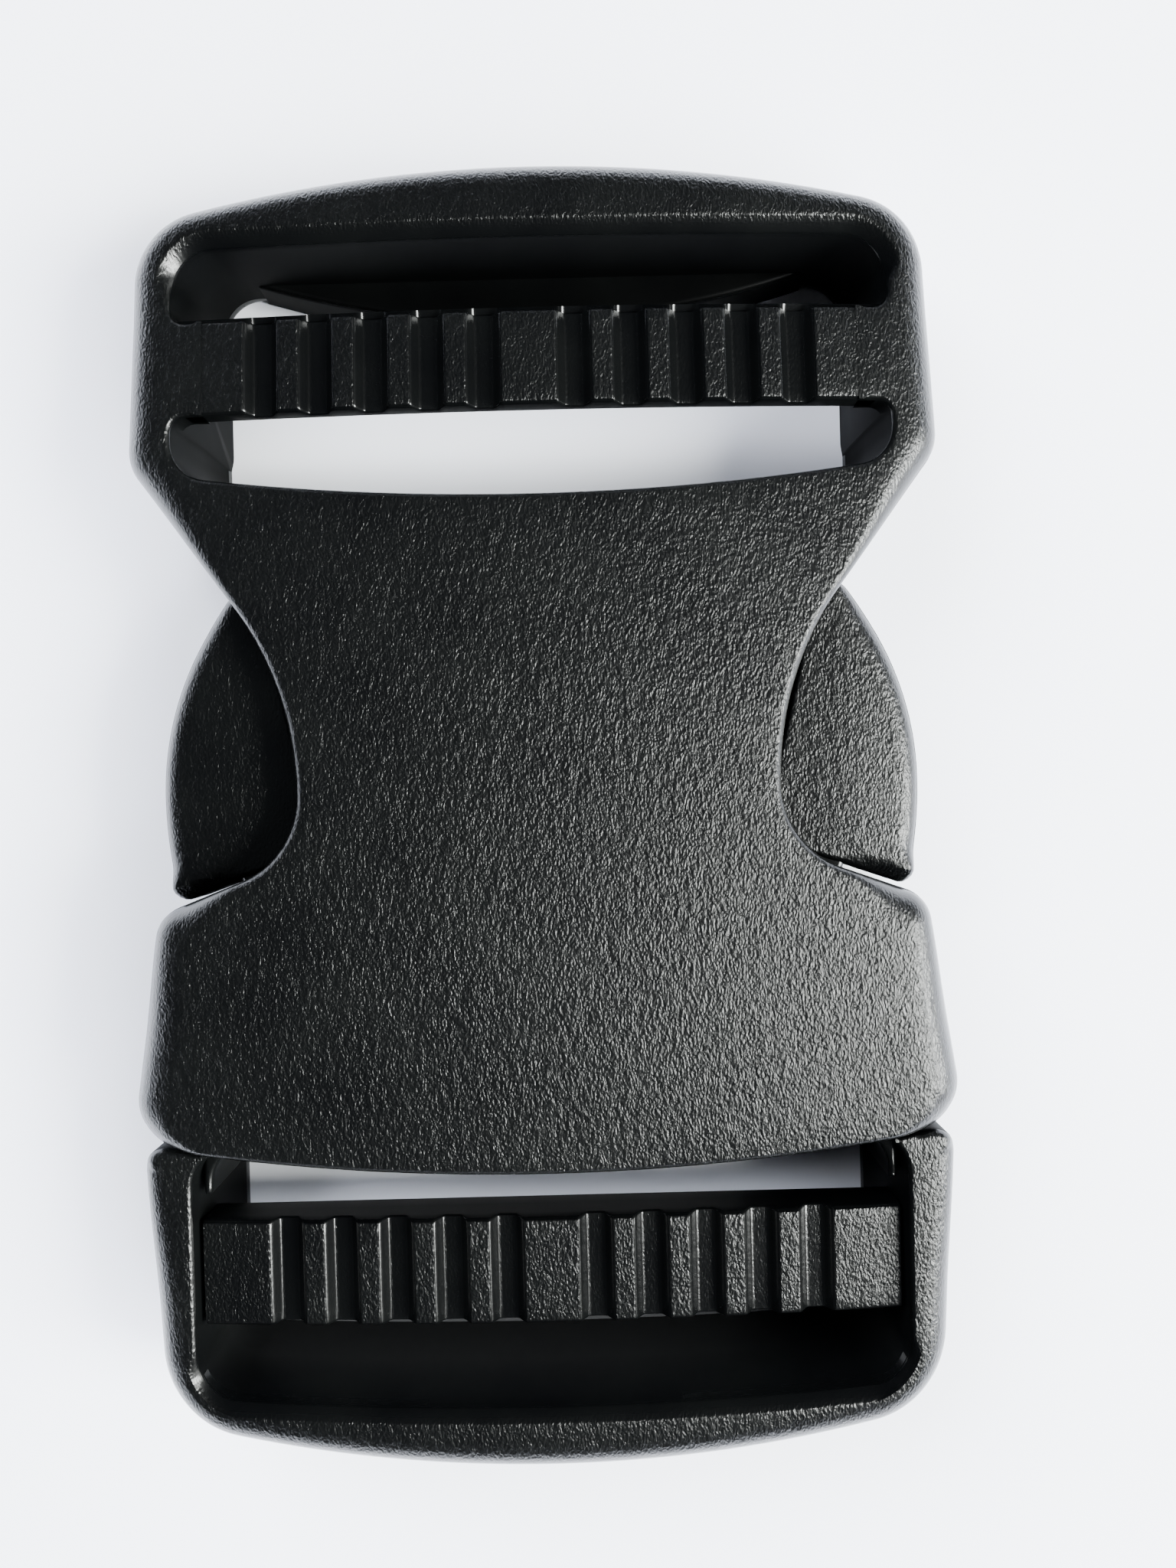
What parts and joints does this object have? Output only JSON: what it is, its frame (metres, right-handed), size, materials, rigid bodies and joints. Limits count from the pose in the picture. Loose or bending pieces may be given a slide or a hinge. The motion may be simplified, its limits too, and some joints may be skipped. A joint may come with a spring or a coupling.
{
  "type": "side release buckle",
  "caption": "Black plastic side-release buckle, closed, with a strap frame and ribbed ladder bar at each end, a crowned socket and side release buttons that squeeze inwards.",
  "frame": {"origin": "middle of the flat back face, at the centre of the bounding box in X and Y", "axes": "+Z out of the crowned front face; +Y towards the end of the socket's strap frame, the way the socket's strap leaves; +X to the right seen from the front"},
  "size_m": [0.0502, 0.0796, 0.0118],
  "materials": {
    "black_plastic": "moulded, fine leather-like spark-eroded grain on the outer faces, smooth slot walls and rims"
  },
  "bodies": {
    "socket": {"socket_top_deck": "black_plastic", "socket_bottom_deck": "black_plastic", "socket_left_skirt": "black_plastic", "socket_right_skirt": "black_plastic", "socket_throat": "black_plastic", "socket_left_rail": "black_plastic", "socket_right_rail": "black_plastic", "socket_ladder_bar": "black_plastic", "socket_end_bar": "black_plastic", "socket_strap_lip": "black_plastic", "socket_left_guide": "black_plastic", "socket_right_guide": "black_plastic"},
    "plug": {"plug_cross_beam": "black_plastic", "plug_tongue": "black_plastic", "plug_left_rail": "black_plastic", "plug_right_rail": "black_plastic", "plug_ladder_bar": "black_plastic", "plug_end_bar": "black_plastic"},
    "left_arm": {"left_spring_arm": "black_plastic", "left_release_button": "black_plastic", "left_thumb_pad": "black_plastic"},
    "right_arm": {"right_spring_arm": "black_plastic", "right_release_button": "black_plastic", "right_thumb_pad": "black_plastic"}
  },
  "joints": [
    {"name": "plug_slide", "type": "slide", "parent": "socket", "child": "plug", "axis": [0, -1, 0], "range_m": [0, 0.04], "deforming": ["left_thumb_pad", "right_thumb_pad"]},
    {"name": "left_arm_squeeze", "type": "hinge", "parent": "plug", "child": "left_arm", "pos_m": [-0.0125, -0.0163, 0.00545], "axis": [0, 0, -1], "range_deg": [0, 8], "stiffness_Nm_per_rad": 1.9},
    {"name": "right_arm_squeeze", "type": "hinge", "parent": "plug", "child": "right_arm", "pos_m": [0.0125, -0.0163, 0.00545], "axis": [0, 0, 1], "range_deg": [0, 8], "stiffness_Nm_per_rad": 1.9}
  ]
}
